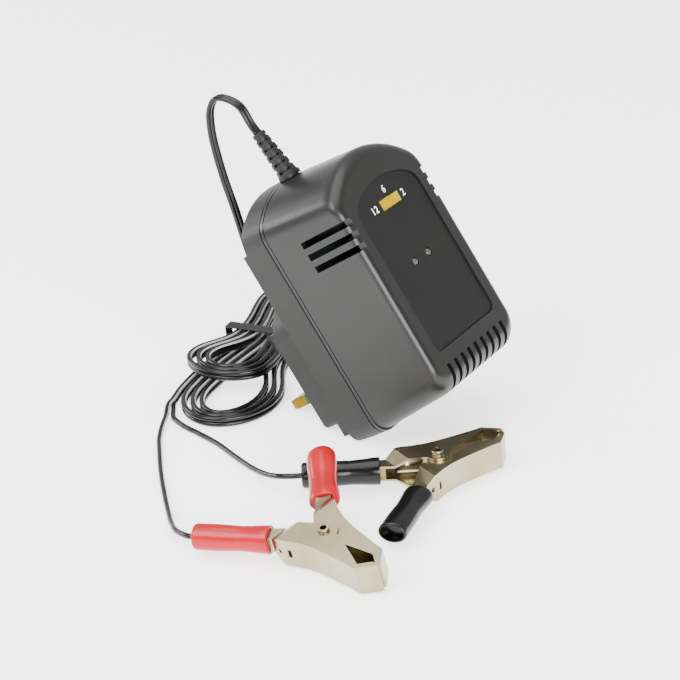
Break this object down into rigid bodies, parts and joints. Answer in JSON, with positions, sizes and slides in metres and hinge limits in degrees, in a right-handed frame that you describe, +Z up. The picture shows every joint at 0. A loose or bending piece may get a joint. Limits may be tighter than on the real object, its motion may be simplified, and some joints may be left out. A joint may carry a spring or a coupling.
{
  "type": "plug-in battery charger",
  "caption": "Plug-in battery charger with mains pins, a sliding voltage switch, status lamps, vents and a hanked flex that ends in a red and a black crocodile clip.",
  "frame": {"origin": "on the table, under the middle of the leaning charger, measured without the flex, the leads and the clips on them", "axes": "+X to the right seen from the front panel, +Y from the front panel to the plug pins, +Z up from the table; the case leans back on its lower rear edge and the tips of its flat pins"},
  "size_m": [0.2018, 0.1627, 0.1182],
  "materials": {
    "case_front": "fine moulded texture, satin",
    "case_rear": "fine moulded texture, satin",
    "label": "printed film, satin",
    "flex_black": "soft moulded, satin",
    "steel": "plain",
    "brass": "plain",
    "pin_black": "moulded",
    "board": "solder mask",
    "ferrite": "fired",
    "winding": "taped",
    "can_blue": "shrink sleeve",
    "component_black": "moulded",
    "aluminium": "extruded",
    "component_green": "coated",
    "switch_grey": "moulded",
    "yellow": "moulded",
    "lamp_clear": "clear lens",
    "nickel": "nickel plated, bright",
    "sleeve_red": "soft dipped, glossy",
    "sleeve_black": "soft dipped, glossy"
  },
  "bodies": {
    "charger": {"front_cover": "case_front", "rear_cover": "case_rear", "label_plate": "label", "strain_relief": "flex_black", "case_screws": "steel", "live_pin": "brass", "neutral_pin": "brass", "earth_pin": "pin_black", "pin_sleeves": "pin_black", "main_board": "board", "control_board": "board", "board_link": "steel", "board_screws": "steel", "transformer_core": "ferrite", "transformer_winding": "winding", "input_capacitor": "can_blue", "output_capacitor": "can_blue", "rectifier": "component_black", "switching_transistor": "component_black", "heat_sink": "aluminium", "fuse_resistor": "component_green", "switch_body": "switch_grey", "charge_lamp": "lamp_clear", "polarity_lamp": "lamp_clear", "flex_arch": "flex_black", "flex_hank": "flex_black", "hank_tie": "flex_black", "red_lead": "flex_black", "black_lead": "flex_black", "red_fixed_jaw": "nickel", "red_rivet": "nickel", "red_spring": "steel", "red_cable_sleeve": "sleeve_red", "black_fixed_jaw": "nickel", "black_rivet": "nickel", "black_spring": "steel", "black_cable_sleeve": "sleeve_black"},
    "selector": {"switch_knob": "yellow"},
    "red_jaw": {"red_moving_jaw": "nickel", "red_free_sleeve": "sleeve_red"},
    "black_jaw": {"black_moving_jaw": "nickel", "black_free_sleeve": "sleeve_black"}
  },
  "joints": [
    {"name": "selector_slide", "type": "slide", "parent": "charger", "child": "selector", "axis": [-1, 0, 0], "range_m": [0, 0.0062]},
    {"name": "red_clip_hinge", "type": "hinge", "parent": "charger", "child": "red_jaw", "pos_m": [-0.10923, -0.04677, 0.00938], "axis": [-0.2672, 0.0045, 0.9636], "range_deg": [0, 32], "stiffness_Nm_per_rad": 0.1, "springref_deg": -34.38, "deforming": ["red_spring"]},
    {"name": "black_clip_hinge", "type": "hinge", "parent": "charger", "child": "black_jaw", "pos_m": [-0.0428, -0.0518, 0.0065], "axis": [0, 0, -1], "range_deg": [0, 32], "stiffness_Nm_per_rad": 0.1, "springref_deg": -34.38, "deforming": ["black_spring"]}
  ]
}
